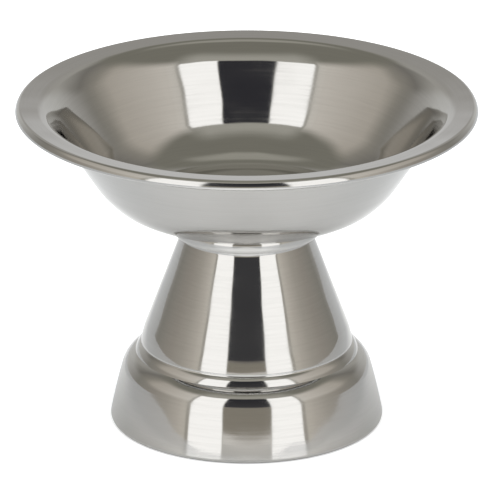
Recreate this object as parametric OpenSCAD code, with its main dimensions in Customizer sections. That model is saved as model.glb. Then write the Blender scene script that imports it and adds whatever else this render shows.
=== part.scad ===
// Communion chalice: a wide spun bowl on a low stepped foot, with a turned collar between them.
// A threaded stud welded under the bowl passes through the collar and the top of the foot,
// and a nut inside the hollow foot pulls the three together.
// Millimetres. Origin at the centre of the ring that the foot stands on, +Z up through the bowl.

/* [Bowl] */
// Radius of the rim at its outermost line
rim_r = 65; // [64.5:0.25:68]
// Height of the rim's highest line above the table
rim_z = 93.6; // [93:0.1:95]
// Inside radius of the nearly flat face of the rim's turned-down edge
rim_edge_r = 2.4; // [2:0.1:3]
// Radius of the flat in the middle of the bowl's bottom
bowl_flat_r = 28.5; // [27:0.25:28.75]
// Radius of the curve that leaves the flat bottom
bowl_heel_r = 15; // [14:0.25:16]
// Radius of the curve between the heel and the wall
bowl_belly_r = 28.5; // [27:0.25:30]
// Angle of the lip above level, rising outwards
lip_angle = 5; // [3:0.5:8]

/* [Foot] */
// Radius of the foot at its widest, just above the table
foot_r = 38.65; // [38:0.25:42]
// Height of the outer wall, up to the shoulder
foot_wall_z = 15.2; // [14:0.2:16]
// Radius of the rounded shoulder
shoulder_r = 8.15; // [7.5:0.05:8.5]
// Half angle of the cone
cone_angle = 20.25; // [19:0.25:21]
// Height of the foot's top, which carries the collar
foot_z = 56.3; // [55.5:0.1:57]

/* [Collar] */
// Radius of the collar at its widest
collar_r = 21.4; // [21:0.1:23]
// Height of the collar, from the foot's top to the bowl's bottom
collar_h = 6.6; // [6:0.1:7]

/* [Fasteners] */
// Diameter of the stud's thread
stud_d = 6; // [5:0.5:6]
// Distance across the flats of the nut
nut_af = 10; // [9.5:0.5:12]

/* [Sheet] */
// Thickness of the spun sheet
sheet_t = 0.8; // [0.6:0.05:0.9]

/* [Hidden] */
steel = [0.78, 0.77, 0.75];
zinc = [0.70, 0.71, 0.72];
$fn = 96;

// Largest turn and largest distance between neighbouring points of a curve
arc_step = 15;
arc_chord = 2.5;

// Bowl: heel, belly, straight wall, flare, tighter roll, lip, turned-down edge with a small curl
bowl_z = foot_z + collar_h;
heel_angle = 41;
wall_angle = 57;
flare_r = 17;
flare_angle = 38;
roll_r = 4;
rim_bend_r = 0.1;
rim_bend_angle = -50;
rim_face_angle = -76;
rim_foot_r = 0.3;
curl_r = 0.1;
curl_len = 0.3;

// Foot: turned-in hem, outer wall, shoulder, small ring, crease, cone, waist, flat top
hem_w = 2.6;
hem_r = 1;
foot_wall_low = 11;
foot_wall_high = 15;
shoulder_angle = 60;
ring_low = 18;
ring_high = 45;
ring_r = 6;
crease_r = 0.6;
tuck_r = 2.5;
tuck_angle = 12.5;
cone_base_r = 36;
waist_r = 2;
waist_h = 0.25;
foot_edge_r = 1;

// Collar: its widest line is low down, and it closes in to a short leaning land under the bowl
collar_bulge_r = 4;
collar_bulge_z = 1.4;
collar_top_angle = 75;
collar_land_lean = 17;

// Stud and stud plate, welded under the bowl
stud_r = stud_d / 2;
stud_clearance = 0.25;
stud_tip = 0.7;
stud_spare = 2.5;
plate_r = 14;
plate_t = 1.2;
weld_w = 1.4;
weld_h = 0.8;
recess_gap = 0.3;

// Washers and nut, inside the foot
clamp_r = 15;
clamp_t = 1.5;
lock_r = 5.9;
lock_t = 1.6;
lock_gap = 1;
nut_h = 5;
nut_chamfer_h = 0.6;
clamp_z = foot_z - sheet_t - clamp_t;
lock_z = clamp_z - lock_t;
nut_z = lock_z - nut_h;
stud_z = nut_z - stud_spare;

// A profile is walked as a list of stations [radius, height, heading]. Heading 0 points
// outwards and 90 points up. A move is [length] for a straight, or [radius, heading] for a
// curve that turns until it reaches that heading. A curve of radius 0 is a sharp corner.
function last(list) = list[len(list) - 1];

function curve(from, radius, heading) =
    let (turn = heading - from[2],
         side = turn < 0 ? -radius : radius,
         length = radius * abs(turn) * PI / 180,
         steps = ceil(max(abs(turn) / arc_step, length / arc_chord)))
    [for (i = [1:steps])
        let (h = from[2] + turn * i / steps)
        [from[0] + side * (sin(h) - sin(from[2])), from[1] - side * (cos(h) - cos(from[2])), h]];

function straight(from, length) =
    [[from[0] + length * cos(from[2]), from[1] + length * sin(from[2]), from[2]]];

function moved(from, move) =
    len(move) == 1 ? straight(from, move[0])
    : move[0] == 0 ? [[from[0], from[1], move[1]]]
    : curve(from, move[0], move[1]);

function walk(path, moves, i = 0) =
    i == len(moves) ? path
    : walk(concat(path, moved(last(path), moves[i])), moves, i + 1);

// Points of a walked profile, and the same profile moved to its left by a gap
function outline(path) = [for (s = path) [s[0], s[1]]];

function beside(path, gap) = [for (s = path) [s[0] - gap * sin(s[2]), s[1] + gap * cos(s[2])]];

function backwards(list) = [for (i = [len(list) - 1:-1:0]) list[i]];

// Sheet metal spun to a walked profile
module spun(path) {
    rotate_extrude()
        polygon(concat(outline(path), backwards(beside(path, sheet_t))));
}

// Flat disc with a round hole
module washer(outer_r, hole_r, thickness, low_z) {
    translate([0, 0, low_z])
        difference() {
            cylinder(r = outer_r, h = thickness);
            translate([0, 0, -thickness])
                cylinder(r = hole_r, h = 3 * thickness);
        }
}

// Bowl underside, from the axis to the end of the belly
belly_path = walk([[0, bowl_z, 0]], [
    [bowl_flat_r],
    [bowl_heel_r, heel_angle],
    [bowl_belly_r, wall_angle]]);
// Rim's turned-down edge, walked on its own from the end of the lip down to upright
edge_path = walk([[0, 0, lip_angle]], [
    [rim_bend_r, rim_bend_angle],
    [rim_edge_r, rim_face_angle],
    [rim_foot_r, -90]]);
lip_end = [rim_r - sheet_t - last(edge_path)[0], rim_z - sheet_t - rim_bend_r * (1 - cos(lip_angle))];
// What the flare and the roll cover, and what is left for the straight wall and the lip
flare_w = flare_r * (sin(wall_angle) - sin(flare_angle)) + roll_r * (sin(flare_angle) - sin(lip_angle));
flare_h = flare_r * (cos(flare_angle) - cos(wall_angle)) + roll_r * (cos(lip_angle) - cos(flare_angle));
left_w = lip_end[0] - last(belly_path)[0] - flare_w;
left_h = lip_end[1] - last(belly_path)[1] - flare_h;
lip_len = (left_w * sin(wall_angle) - left_h * cos(wall_angle)) / sin(wall_angle - lip_angle);
wall_len = (left_h - lip_len * sin(lip_angle)) / sin(wall_angle);

module bowl() {
    path = walk(belly_path, [
        [wall_len],
        [flare_r, flare_angle],
        [roll_r, lip_angle],
        [lip_len],
        [rim_bend_r, rim_bend_angle],
        [rim_edge_r, rim_face_angle],
        [rim_foot_r, -90],
        [curl_r, -180],
        [curl_len]]);
    color(steel)
        spun(path);
}

// Foot, from its hem up to the end of the curve under the cone
hem_top_z = hem_r * (1 + sin(foot_wall_low));
foot_wall_r = (foot_wall_z - hem_top_z) / (sin(foot_wall_high) - sin(foot_wall_low));
step_path = walk([[foot_r - hem_r - hem_w, 0, 0]], [
    [hem_w],
    [hem_r, 90 + foot_wall_low],
    [foot_wall_r, 90 + foot_wall_high],
    [shoulder_r, 90 + shoulder_angle],
    [0, 90 + ring_low],
    [ring_r, 90 + ring_high],
    [crease_r, 90],
    [tuck_r, 90 + tuck_angle],
    [cone_base_r, 90 + cone_angle]]);
// The cone takes up the height that is left below the waist and the rounded top edge
waist_top_h = waist_r * sin(cone_angle) + waist_h + foot_edge_r;
cone_len = (foot_z - waist_top_h - last(step_path)[1]) / cos(cone_angle);

module foot() {
    neck_path = walk(step_path, [
        [cone_len],
        [waist_r, 90],
        [waist_h],
        [foot_edge_r, 180]]);
    path = walk(neck_path, [[last(neck_path)[0] - stud_r - stud_clearance]]);
    color(steel)
        spun(path);
}

// Turned ring, with a recess in its top for the stud plate and its weld
module neck_collar() {
    low_angle = asin(collar_bulge_z / collar_bulge_r);
    bulge = walk([[0, foot_z, 0]], [
        [collar_r - collar_bulge_r * (1 - cos(low_angle))],
        [0, 90 - low_angle],
        [collar_bulge_r, 90 + collar_top_angle],
        [0, 90 + collar_land_lean]]);
    path = walk(bulge, [[(bowl_z - last(bulge)[1]) / cos(collar_land_lean)]]);
    recess_h = plate_t + weld_h + recess_gap;
    color(steel)
        difference() {
            rotate_extrude()
                polygon(concat(outline(path), [[0, bowl_z]]));
            translate([0, 0, foot_z - recess_gap])
                cylinder(r = stud_r + stud_clearance, h = collar_h);
            translate([0, 0, bowl_z - recess_h])
                cylinder(r = plate_r + recess_gap, h = 2 * recess_h);
        }
}

// Disc spot-welded under the bowl, with the weld that holds the stud in it
module stud_plate() {
    color(steel)
        difference() {
            union() {
                translate([0, 0, bowl_z - plate_t])
                    cylinder(r = plate_r, h = plate_t);
                translate([0, 0, bowl_z - plate_t - weld_h])
                    cylinder(r1 = stud_r, r2 = stud_r + weld_w, h = weld_h);
            }
            translate([0, 0, bowl_z - 3 * plate_t])
                cylinder(r = stud_r, h = 4 * plate_t);
        }
}

module stud() {
    color(zinc)
        union() {
            translate([0, 0, stud_z + stud_tip])
                cylinder(r = stud_r, h = bowl_z - stud_z - stud_tip);
            translate([0, 0, stud_z])
                cylinder(r1 = stud_r - stud_tip, r2 = stud_r, h = stud_tip);
        }
}

module clamp_washer() {
    color(zinc)
        washer(clamp_r, stud_r + stud_clearance, clamp_t, clamp_z);
}

// Spring washer, cut through at one place
module lock_washer() {
    color(zinc)
        difference() {
            washer(lock_r, stud_r + stud_clearance, lock_t, lock_z);
            translate([0, -lock_gap / 2, lock_z - lock_t])
                cube([2 * lock_r, lock_gap, 3 * lock_t]);
        }
}

// Hexagon nut with both faces chamfered
module nut() {
    nut_corner_r = nut_af / 2 / cos(30);
    face_r = nut_af / 2 - 0.2;
    color(zinc)
        translate([0, 0, nut_z])
            difference() {
                intersection() {
                    cylinder(r = nut_corner_r, h = nut_h, $fn = 6);
                    rotate_extrude()
                        polygon([
                            [0, 0],
                            [face_r, 0],
                            [nut_corner_r + 0.2, nut_chamfer_h],
                            [nut_corner_r + 0.2, nut_h - nut_chamfer_h],
                            [face_r, nut_h],
                            [0, nut_h]]);
                }
                translate([0, 0, -nut_h])
                    cylinder(r = stud_r, h = 3 * nut_h);
            }
}

bowl();
stud_plate();
stud();
neck_collar();
foot();
clamp_washer();
lock_washer();
nut();
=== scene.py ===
"""Communion chalice in polished stainless steel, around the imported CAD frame."""
import math

import bpy
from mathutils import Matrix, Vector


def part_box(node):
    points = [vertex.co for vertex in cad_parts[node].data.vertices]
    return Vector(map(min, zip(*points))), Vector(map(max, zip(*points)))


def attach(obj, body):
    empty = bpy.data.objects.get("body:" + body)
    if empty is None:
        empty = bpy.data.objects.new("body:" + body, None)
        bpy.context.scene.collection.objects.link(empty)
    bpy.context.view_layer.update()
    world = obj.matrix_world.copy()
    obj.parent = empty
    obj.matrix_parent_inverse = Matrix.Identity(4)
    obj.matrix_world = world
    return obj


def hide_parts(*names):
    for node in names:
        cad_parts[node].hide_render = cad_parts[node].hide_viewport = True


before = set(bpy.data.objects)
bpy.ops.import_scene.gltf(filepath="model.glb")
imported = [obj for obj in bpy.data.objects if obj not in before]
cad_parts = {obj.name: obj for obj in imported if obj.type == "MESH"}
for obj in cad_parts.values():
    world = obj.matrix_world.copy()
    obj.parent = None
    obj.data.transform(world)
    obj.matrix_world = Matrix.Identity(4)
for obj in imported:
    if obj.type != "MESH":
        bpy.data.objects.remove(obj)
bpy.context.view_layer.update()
scene = bpy.context.scene
scene.view_settings.view_transform = "Standard"
scene.view_settings.look = "None"
MM = 0.001

# ---------------------------------------------------------------- sizes, in mm, from the CAD boxes


def size_of(node):
    low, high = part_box(node)
    return low / MM, high / MM


bowl_low, bowl_high = size_of("bowl")
foot_high = size_of("foot")[1]
collar_high = size_of("neck_collar")[1]
stud_low, stud_high = size_of("stud")
RIM_R = bowl_high.x
RIM_Z = bowl_high.z
BOWL_Z = bowl_low.z
FOOT_R = foot_high.x
FOOT_Z = foot_high.z
COLLAR_R = collar_high.x
STUD_R = stud_high.x
STUD_GAP = 0.25
SHEET_T = 0.8

# ---------------------------------------------------------------- profiles
# A profile is walked as stations (radius, height, heading). Heading 0 points outwards and 90 up.
# A move is (length,) for a straight or (radius, heading) for a curve.
# Largest turn and largest distance between neighbouring stations of a curve, and of a straight
ARC_STEP = 5.0
ARC_CHORD = 1.0
STRAIGHT_STEP = 2.0


def sin(angle):
    return math.sin(math.radians(angle))


def cos(angle):
    return math.cos(math.radians(angle))


def walk(path, *moves):
    path = list(path)
    for move in moves:
        r, z, h = path[-1]
        if len(move) == 1:
            length = move[0]
            steps = max(1, math.ceil(length / STRAIGHT_STEP))
            path += [(r + length * i / steps * cos(h), z + length * i / steps * sin(h), h)
                     for i in range(1, steps + 1)]
            continue
        radius, heading = move
        turn = heading - h
        side = math.copysign(radius, turn)
        arc = radius * math.radians(abs(turn))
        steps = max(2, math.ceil(abs(turn) / ARC_STEP), math.ceil(arc / ARC_CHORD))
        for i in range(1, steps + 1):
            k = h + turn * i / steps
            path.append((r + side * (sin(k) - sin(h)), z - side * (cos(k) - cos(h)), k))
    return path


def beside(path, gap):
    """The same line moved to its left by a gap."""
    return [(r - gap * sin(h), z + gap * cos(h), h) for r, z, h in path]


def backwards(path):
    """The same line walked the other way, so that its outside is still on its right."""
    return [(r, z, h + 180) for r, z, h in reversed(path)]


def turned(station, angle):
    """The same place with another heading, where the outline has a sharp corner."""
    r, z, h = station
    return (r, z, h + angle)


def sheet_loop(path):
    """The closed section of a sheet whose outside is the walked path, and the inside's first row."""
    inside = beside(path, SHEET_T)
    end = [turned(path[-1], 90), turned(inside[-1], 90)]
    start = [turned(inside[0], -90), turned(path[0], -90)]
    return path + end + backwards(inside) + start, len(path) + 1


def bowl_path():
    flat_r, heel_r, heel_angle, belly_r, wall_angle = 28.5, 15, 41, 28.5, 57
    flare_r, flare_angle, roll_r, lip_angle = 17, 38, 4, 5
    # The rim's edge bends over, goes down as a nearly flat face, and curls under
    bend_r, bend_angle, face_r, face_angle, upright_r, curl_len = 0.1, -50, 2.4, -76, 0.3, 0.3
    turned_down = ((bend_r, bend_angle), (face_r, face_angle), (upright_r, -90))
    edge_w = walk([(0, 0, lip_angle)], *turned_down)[-1][0]
    belly = walk([(0, BOWL_Z, 0)], (flat_r,), (heel_r, heel_angle), (belly_r, wall_angle))
    # What the flare and the roll cover, and what is left for the straight wall and the lip
    flare_w = flare_r * (sin(wall_angle) - sin(flare_angle)) + roll_r * (sin(flare_angle) - sin(lip_angle))
    flare_h = flare_r * (cos(flare_angle) - cos(wall_angle)) + roll_r * (cos(lip_angle) - cos(flare_angle))
    left_w = RIM_R - SHEET_T - edge_w - belly[-1][0] - flare_w
    left_h = RIM_Z - SHEET_T - bend_r * (1 - cos(lip_angle)) - belly[-1][1] - flare_h
    lip_len = (left_w * sin(wall_angle) - left_h * cos(wall_angle)) / sin(wall_angle - lip_angle)
    wall_len = (left_h - lip_len * sin(lip_angle)) / sin(wall_angle)
    return walk(belly, (wall_len,), (flare_r, flare_angle), (roll_r, lip_angle), (lip_len,),
                *turned_down, (bend_r, -180), (curl_len,))


def foot_path():
    """Hem, outer wall, shoulder, groove, ring, crease, cone, waist and flat top."""
    hem_w, hem_r, wall_low, wall_high, wall_z = 2.6, 1, 11, 15, 15.2
    shoulder_r, shoulder_angle, groove_r, ring_low, ring_high, ring_r = 8.15, 60, 0.12, 18, 45, 6
    crease_r, tuck_r, tuck_angle, cone_base_r, cone_angle = 0.6, 2.5, 12.5, 36, 20.25
    waist_r, waist_h, edge_r = 2, 0.25, 1
    hem_top = hem_r * (1 + sin(wall_low))
    wall_r = (wall_z - hem_top) / (sin(wall_high) - sin(wall_low))
    steps = walk([(FOOT_R - hem_r - hem_w, 0, 0)], (hem_w,), (hem_r, 90 + wall_low),
                 (wall_r, 90 + wall_high), (shoulder_r, 90 + shoulder_angle), (groove_r, 90 + ring_low),
                 (ring_r, 90 + ring_high), (crease_r, 90), (tuck_r, 90 + tuck_angle),
                 (cone_base_r, 90 + cone_angle))
    above = waist_r * sin(cone_angle) + waist_h + edge_r
    cone_len = (FOOT_Z - above - steps[-1][1]) / cos(cone_angle)
    neck = walk(steps, (cone_len,), (waist_r, 90), (waist_h,), (edge_r, 180))
    return walk(neck, (neck[-1][0] - STUD_R - STUD_GAP,))


def collar_path():
    """Underside, bulge, leaning land, top, recess for the stud plate, and bore."""
    bulge_r, bulge_z, top_angle, land_lean, edge_r = 4, 1.4, 75, 17, 0.15
    recess_r, recess_z = 14.3, 2.3
    low = math.degrees(math.asin(bulge_z / bulge_r))
    flat = COLLAR_R - bulge_r * (1 - cos(low)) - STUD_R - STUD_GAP - edge_r
    side = walk([(STUD_R + STUD_GAP, FOOT_Z, 0)], (flat,), (edge_r, 90 - low), (bulge_r, 90 + top_angle),
                (edge_r, 90 + land_lean))
    land = walk(side, ((BOWL_Z - side[-1][1]) / cos(land_lean),))
    rim = turned(land[-1], 90 - land_lean)
    recess = walk([rim], (rim[0] - recess_r,))
    step = walk([turned(recess[-1], 90)], (recess_z,))
    seat = walk([turned(step[-1], -90)], (recess_r - STUD_R - STUD_GAP,))
    bore = turned(seat[-1], 90)
    return land + recess + step + seat + [bore, (bore[0], FOOT_Z, bore[2])]


# ---------------------------------------------------------------- meshes
AROUND = 360
NEAR = 1e-6


def new_piece(name, verts, faces):
    mesh = bpy.data.meshes.new(name)
    mesh.from_pydata(verts, [], faces)
    mesh.polygons.foreach_set("use_smooth", [True] * len(faces))
    piece = bpy.data.objects.new(name, mesh)
    scene.collection.objects.link(piece)
    return piece


def lathe(name, path, inner_from=None):
    """Turns a closed section round the axis. Normals are exact, so that reflections stay smooth.
    Stations on the axis are a single point. Faces from row inner_from on get the second material."""
    verts, normals, faces, inner, rows = [], [], [], [], []
    for r, z, h in path:
        count = AROUND if r > NEAR else 1
        rows.append((len(verts), count))
        for k in range(count):
            a = 2 * math.pi * k / AROUND
            verts.append((r * MM * math.cos(a), r * MM * math.sin(a), z * MM))
            normals.append((sin(h) * math.cos(a), sin(h) * math.sin(a), -cos(h)))
    for i, (low, low_count) in enumerate(rows):
        j = (i + 1) % len(rows)
        high, high_count = rows[j]
        same_place = abs(path[i][0] - path[j][0]) + abs(path[i][1] - path[j][1]) < NEAR
        if same_place or (low_count == 1 and high_count == 1):
            continue
        for k in range(AROUND):
            m = (k + 1) % AROUND
            if low_count == 1:
                faces.append((low, high + m, high + k))
            elif high_count == 1:
                faces.append((low + k, low + m, high))
            else:
                faces.append((low + k, low + m, high + m, high + k))
            inner.append(inner_from is not None and i >= inner_from)
    piece = new_piece(name, verts, faces)
    piece.data.polygons.foreach_set("material_index", [int(v) for v in inner])
    piece.data.normals_split_custom_set_from_vertices(normals)
    return piece


def threaded_rod(name, radius, low_z, high_z, pitch, depth):
    """A rod with a screw thread: the radius follows the thread's wave along a helix.
    The wave has straight flanks, cut off flat at the crest and the root. The low end is chamfered."""
    around, per_pitch = 60, 14
    flank_slope, crest_flat, chamfer_depth = 1.35, 0.12, 1.2 * depth
    rows = math.ceil((high_z - low_z) / pitch * per_pitch)
    verts, faces = [], []
    for i in range(rows + 1):
        z = low_z + (high_z - low_z) * i / rows
        chamfer = radius - chamfer_depth + (z - low_z)
        for k in range(around):
            turn = ((z - low_z) / pitch - k / around) % 1
            cut = min(1.0, max(0.0, flank_slope * abs(2 * turn - 1) - crest_flat))
            r = min(radius - depth * cut, chamfer)
            a = 2 * math.pi * k / around
            verts.append((r * MM * math.cos(a), r * MM * math.sin(a), z * MM))
    for i in range(rows):
        for k in range(around):
            m = (k + 1) % around
            faces.append((i * around + k, i * around + m, (i + 1) * around + m, (i + 1) * around + k))
    faces.append(tuple(range(around - 1, -1, -1)))
    faces.append(tuple(rows * around + k for k in range(around)))
    return new_piece(name, verts, faces)


# ---------------------------------------------------------------- materials


class Graph:
    """A node tree, with one short method for each kind of node that the looks are made of."""

    def __init__(self, tree):
        self.nodes = tree.nodes
        self.links = tree.links

    def put(self, socket, value):
        if isinstance(value, bpy.types.NodeSocket):
            self.links.new(value, socket)
        else:
            socket.default_value = value

    def give(self, socket, colour):
        """Sets a plain colour on a socket, or links one."""
        self.put(socket, (*colour, 1) if isinstance(colour, tuple) else colour)

    def math(self, operation, *values):
        node = self.nodes.new("ShaderNodeMath")
        node.operation = operation
        for socket, value in zip(node.inputs, values):
            self.put(socket, value)
        return node.outputs[0]

    def smooth(self, value, low, high, to_low=0.0, to_high=1.0):
        """A soft step from to_low to to_high as the value goes from low to high."""
        node = self.nodes.new("ShaderNodeMapRange")
        node.interpolation_type = "SMOOTHSTEP"
        self.put(node.inputs["Value"], value)
        node.inputs["From Min"].default_value = low
        node.inputs["From Max"].default_value = high
        node.inputs["To Min"].default_value = to_low
        node.inputs["To Max"].default_value = to_high
        return node.outputs["Result"]

    def between(self, value, low, high, edge):
        """1 between low and high, and 0 outside them, with soft edges."""
        return self.math("MULTIPLY", self.smooth(value, low - edge, low + edge),
                         self.smooth(value, high - edge, high + edge, 1.0, 0.0))

    def ramp(self, value, low, high, stops):
        """Colour along a range of values: stops are pairs of a value and an RGB colour."""
        node = self.nodes.new("ShaderNodeValToRGB")
        spots = node.color_ramp.elements
        while len(spots) < len(stops):
            spots.new(0.5)
        for spot, (at, colour) in zip(spots, stops):
            spot.position = (at - low) / (high - low)
            spot.color = (*colour, 1)
        scaled = self.smooth(value, low, high)
        scaled.node.interpolation_type = "LINEAR"
        self.links.new(scaled, node.inputs["Fac"])
        return node.outputs["Color"]

    def mix(self, mask, colour, new_colour):
        """The new colour where the mask is 1. A Mix node has sockets for each data type in turn."""
        factor, first_colour, second_colour, colour_result = 0, 6, 7, 2
        node = self.nodes.new("ShaderNodeMix")
        node.data_type = "RGBA"
        self.put(node.inputs[factor], mask)
        self.give(node.inputs[first_colour], colour)
        self.give(node.inputs[second_colour], new_colour)
        return node.outputs[colour_result]

    def noise(self, vector, scale, detail=2.0, rough=0.5):
        node = self.nodes.new("ShaderNodeTexNoise")
        self.put(node.inputs["Vector"], vector)
        node.inputs["Scale"].default_value = scale
        node.inputs["Detail"].default_value = detail
        node.inputs["Roughness"].default_value = rough
        return node.outputs["Fac"]

    def bump(self, height, distance, normal=None):
        node = self.nodes.new("ShaderNodeBump")
        node.inputs["Strength"].default_value = 1.0
        node.inputs["Distance"].default_value = distance
        self.put(node.inputs["Height"], height)
        if normal is not None:
            self.put(node.inputs["Normal"], normal)
        return node.outputs["Normal"]

    def combine(self, x, y, z):
        node = self.nodes.new("ShaderNodeCombineXYZ")
        for socket, value in zip(node.inputs, (x, y, z)):
            self.put(socket, value)
        return node.outputs[0]

    def split(self, vector):
        node = self.nodes.new("ShaderNodeSeparateXYZ")
        self.put(node.inputs[0], vector)
        return node.outputs


def new_material(name):
    """A material, its graph and its shader."""
    material = bpy.data.materials.new(name)
    material.use_nodes = True
    graph = Graph(material.node_tree)
    return material, graph, graph.nodes["Principled BSDF"]


def around_axis(graph):
    """Object coordinates, and the same place as radius, angle and height. A turn of one radian counts
    as only a little distance, so that noise there is drawn out into lines round the axis."""
    distance_per_radian = 1.2 * MM
    place = graph.nodes.new("ShaderNodeTexCoord").outputs["Object"]
    x, y, z = graph.split(place)
    squares = graph.math("ADD", graph.math("MULTIPLY", x, x), graph.math("MULTIPLY", y, y))
    radius = graph.math("SQRT", squares)
    angle = graph.math("ARCTAN2", graph.math("ABSOLUTE", x), y)
    return place, graph.combine(radius, graph.math("MULTIPLY", angle, distance_per_radian), z)


def metal(name, colour, rough, wave, lines, grain):
    """Turned or spun metal: circular polishing lines, soft waves in the sheet, smears from handling.
    rough is the range of roughness; wave, lines and grain are heights in metres."""
    # Sizes of the patterns, in repeats per metre
    smear_scale, streak_scale, wave_scale, line_scale, grain_scale = 45, 1400, 55, 900, 1600
    smear_share, streak_share, worn_share = 0.6, 0.4, 0.96
    material, graph, shader = new_material(name)
    place, round_axis = around_axis(graph)
    smear = graph.noise(place, smear_scale, 3, 0.6)
    streak = graph.noise(round_axis, streak_scale, 3, 0.7)
    blotch = graph.math("ADD", graph.math("MULTIPLY", smear, smear_share),
                        graph.math("MULTIPLY", streak, streak_share))
    graph.put(shader.inputs["Roughness"], graph.smooth(blotch, 0.38, 0.66, *rough))
    shader.inputs["Metallic"].default_value = 1.0
    worn = tuple(worn_share * c for c in colour)
    graph.put(shader.inputs["Base Color"], graph.mix(graph.smooth(streak, 0.35, 0.7), colour, worn))
    waves = graph.bump(graph.noise(place, wave_scale, 1), wave)
    spun = graph.bump(graph.noise(round_axis, line_scale, 3, 0.6), lines, waves)
    grained = graph.bump(graph.noise(place, grain_scale, 2, 0.6), grain, spun)
    graph.put(shader.inputs["Normal"], grained)
    return material


POLISHED = metal("polished_steel", (0.56, 0.55, 0.53), rough=(0.045, 0.11),
                 wave=0.22 * MM, lines=0.003 * MM, grain=0.0012 * MM)
SATIN = metal("satin_steel", (0.50, 0.49, 0.47), rough=(0.26, 0.42),
              wave=0.3 * MM, lines=0.03 * MM, grain=0.01 * MM)
ZINC = metal("zinc_plate", (0.58, 0.59, 0.61), rough=(0.22, 0.42),
             wave=0.1 * MM, lines=0.01 * MM, grain=0.01 * MM)
TINTED = metal("plain_steel", (0.50, 0.48, 0.45), rough=(0.3, 0.45),
               wave=0.1 * MM, lines=0.02 * MM, grain=0.01 * MM)

# ---------------------------------------------------------------- pieces


def stands_for(node, slot, piece, *materials):
    """Puts a finer piece in the place of a CAD node."""
    for material in materials:
        piece.data.materials.append(material)
    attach(piece, "root")
    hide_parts(node)


THREAD_PITCH = 1.0
THREAD_DEPTH = 0.55
THREAD_PLAY = 0.02
bowl_section = sheet_loop(bowl_path())[0]
foot_section, foot_inside = sheet_loop(foot_path())
rod = threaded_rod("stud_thread", STUD_R - THREAD_PLAY, stud_low.z, stud_high.z, THREAD_PITCH, THREAD_DEPTH)
stands_for("bowl", "polished_steel", lathe("bowl_spun", bowl_section), POLISHED)
stands_for("foot", "polished_steel", lathe("foot_spun", foot_section, foot_inside), POLISHED, SATIN)
stands_for("neck_collar", "polished_steel", lathe("neck_collar_turned", collar_path()), POLISHED)
stands_for("stud", "zinc_plated_steel", rod, ZINC)
CAD_LOOKS = {"stud_plate": TINTED, "clamp_washer": ZINC, "lock_washer": ZINC, "nut": ZINC}
for node, material in CAD_LOOKS.items():
    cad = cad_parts[node]
    cad.data.materials.clear()
    cad.data.materials.append(material)

# ---------------------------------------------------------------- stage, light and camera


def lay_floor():
    """A pale floor whose colour carries painted shade: darker at the sides, a painted shadow that the metal
    mirrors; the camera sees it evenly white.
    """
    half = 0.9
    mesh = bpy.data.meshes.new("floor")
    square = [(-half, -half, 0), (half, -half, 0), (half, half, 0), (-half, half, 0)]
    mesh.from_pydata(square, [], [(0, 1, 2, 3)])
    floor = bpy.data.objects.new("floor", mesh)
    scene.collection.objects.link(floor)
    material, graph, shader = new_material("floor")
    x = graph.split(graph.nodes.new("ShaderNodeTexCoord").outputs["Object"])[0]
    # Painted shade: the base colour darkens away from the middle, standing in for shadow on the floor as
    # the metal mirrors it
    side = graph.smooth(graph.math("ABSOLUTE", x), 0.02, 0.13)
    graph.put(shader.inputs["Base Color"], graph.mix(side, (0.93, 0.95, 0.98), (0.52, 0.54, 0.57)))
    shader.inputs["Roughness"].default_value = 0.25
    shader.inputs["Emission Color"].default_value = (1, 1, 1, 1)
    seen = graph.nodes.new("ShaderNodeLightPath").outputs["Is Camera Ray"]
    # For the camera the glow grows where the painted shade is, so the floor looks evenly white
    lift = graph.math("MULTIPLY", seen, graph.smooth(side, 0, 1, 0.4, 0.8))
    graph.put(shader.inputs["Emission Strength"], lift)
    mesh.materials.append(material)


def light_floor():
    """A soft light from above brightens the floor. The metal doesn't mirror it."""
    light = bpy.data.lights.new("overhead", "SUN")
    light.energy = 3.1
    light.angle = math.radians(70)
    overhead = bpy.data.objects.new("overhead", light)
    overhead.visible_glossy = False
    scene.collection.objects.link(overhead)


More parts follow.
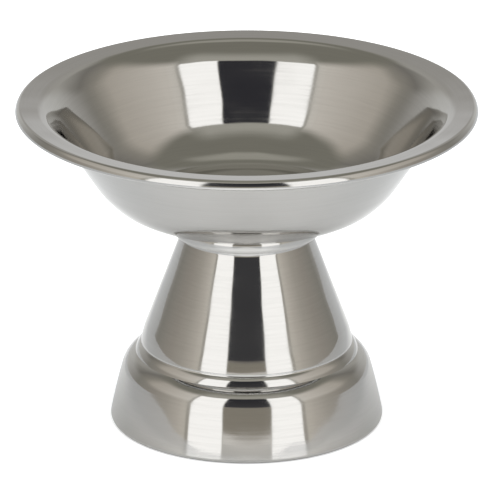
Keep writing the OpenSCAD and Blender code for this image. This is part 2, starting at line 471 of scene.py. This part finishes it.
def studio():
    """The room as the metal mirrors it. Azimuth is 0 towards the camera and 180 behind the chalice."""
    world = bpy.data.worlds.new("studio")
    world.use_nodes = True
    scene.world = world
    graph = Graph(world.node_tree)
    dx, dy, dz = graph.split(graph.nodes.new("ShaderNodeTexCoord").outputs["Generated"])
    degrees = 180 / math.pi
    elevation = graph.math("MULTIPLY", graph.math("ARCSINE", dz), degrees)
    towards = graph.math("MULTIPLY", dy, -1.0)
    azimuth = graph.math("MULTIPLY", graph.math("ARCTAN2", graph.math("ABSOLUTE", dx), towards), degrees)

    # Walls by azimuth, low down and higher up, then a dim khaki ceiling above them
    walls = graph.ramp(azimuth, 0, 180, [
        (50, (0.50, 0.46, 0.40)), (52.5, (0.46, 0.43, 0.38)), (54, (0.84, 0.79, 0.71)),
        (62, (0.66, 0.62, 0.56)), (76, (0.52, 0.49, 0.44)), (92, (0.43, 0.40, 0.36)),
        (118, (0.33, 0.32, 0.29)), (130, (0.44, 0.43, 0.41)), (150, (0.64, 0.64, 0.62)),
        (180, (0.70, 0.70, 0.70))])
    high_walls = graph.ramp(azimuth, 0, 180, [
        (50, (0.60, 0.58, 0.55)), (52, (0.56, 0.54, 0.50)), (53.5, (1.02, 0.98, 0.92)),
        (60, (0.84, 0.80, 0.74)), (75, (0.74, 0.70, 0.64)), (101, (0.61, 0.57, 0.51)),
        (113, (0.38, 0.36, 0.32)), (127, (0.26, 0.25, 0.23)), (146, (0.50, 0.49, 0.46)),
        (180, (0.44, 0.43, 0.41))])
    room = graph.mix(graph.smooth(elevation, 12, 24), walls, high_walls)
    room = graph.mix(graph.smooth(elevation, 40, 52), room, (0.275, 0.268, 0.230))
    # The ceiling is a little lighter over the camera and behind the chalice
    front = graph.smooth(azimuth, 38, 64, 1.0, 0.0)
    glow = graph.math("MULTIPLY", front, graph.smooth(elevation, 52, 68, 1.0, 0.0))
    room = graph.mix(glow, room, (0.53, 0.52, 0.47))
    behind = graph.math("MULTIPLY", graph.smooth(azimuth, 110, 155), graph.between(elevation, 62, 84, 5))
    room = graph.mix(behind, room, (0.47, 0.46, 0.41))
    # Two tall soft boxes either side of the camera, whose level tops look lower away from the middle
    sag = graph.math("MULTIPLY", graph.math("MULTIPLY", azimuth, azimuth), 0.0015)
    below_top = graph.smooth(graph.math("ADD", elevation, sag), 47.6, 49.2, 1.0, 0.0)
    boxes = graph.math("MULTIPLY", graph.between(azimuth, 21.5, 50, 1.0), below_top)
    room = graph.mix(boxes, room, (1.62, 1.62, 1.62))
    # The gap between them: table edge, khaki backdrop, then the dark behind the camera
    gap = graph.ramp(elevation, -2, 48, [
        (-2, (0.70, 0.69, 0.66)), (1.6, (0.74, 0.73, 0.70)), (2.4, (0.92, 0.90, 0.86)),
        (3.6, (0.88, 0.86, 0.82)), (4.4, (0.36, 0.33, 0.28)), (13, (0.34, 0.32, 0.27)),
        (14.5, (0.28, 0.26, 0.24)), (15.8, (0.07, 0.07, 0.075)), (32, (0.05, 0.05, 0.055)),
        (46, (0.042, 0.042, 0.05))])
    in_gap = graph.math("MULTIPLY", graph.smooth(azimuth, 20, 22, 1.0, 0.0), below_top)
    room = graph.mix(in_gap, room, gap)
    seen = graph.nodes.new("ShaderNodeLightPath").outputs["Is Camera Ray"]
    # The camera itself sees a plain pale background
    background = graph.mix(seen, room, (0.97, 0.97, 0.97))
    graph.put(graph.nodes["Background"].inputs["Color"], background)


def place_camera():
    """Far back with a long lens, a little over 20 degrees above level."""
    aim_x, aim_z, distance, elevation = -0.2 * MM, 50.85 * MM, 2.047, 20.45
    data = bpy.data.cameras.new("camera")
    data.sensor_width = 36.0
    data.lens = 530.05
    data.clip_end = 20
    camera = bpy.data.objects.new("camera", data)
    camera.location = (aim_x, -distance * cos(elevation), aim_z + distance * sin(elevation))
    camera.rotation_euler = (math.radians(90 - elevation), 0, 0)
    scene.collection.objects.link(camera)
    scene.camera = camera


lay_floor()
light_floor()
studio()
place_camera()
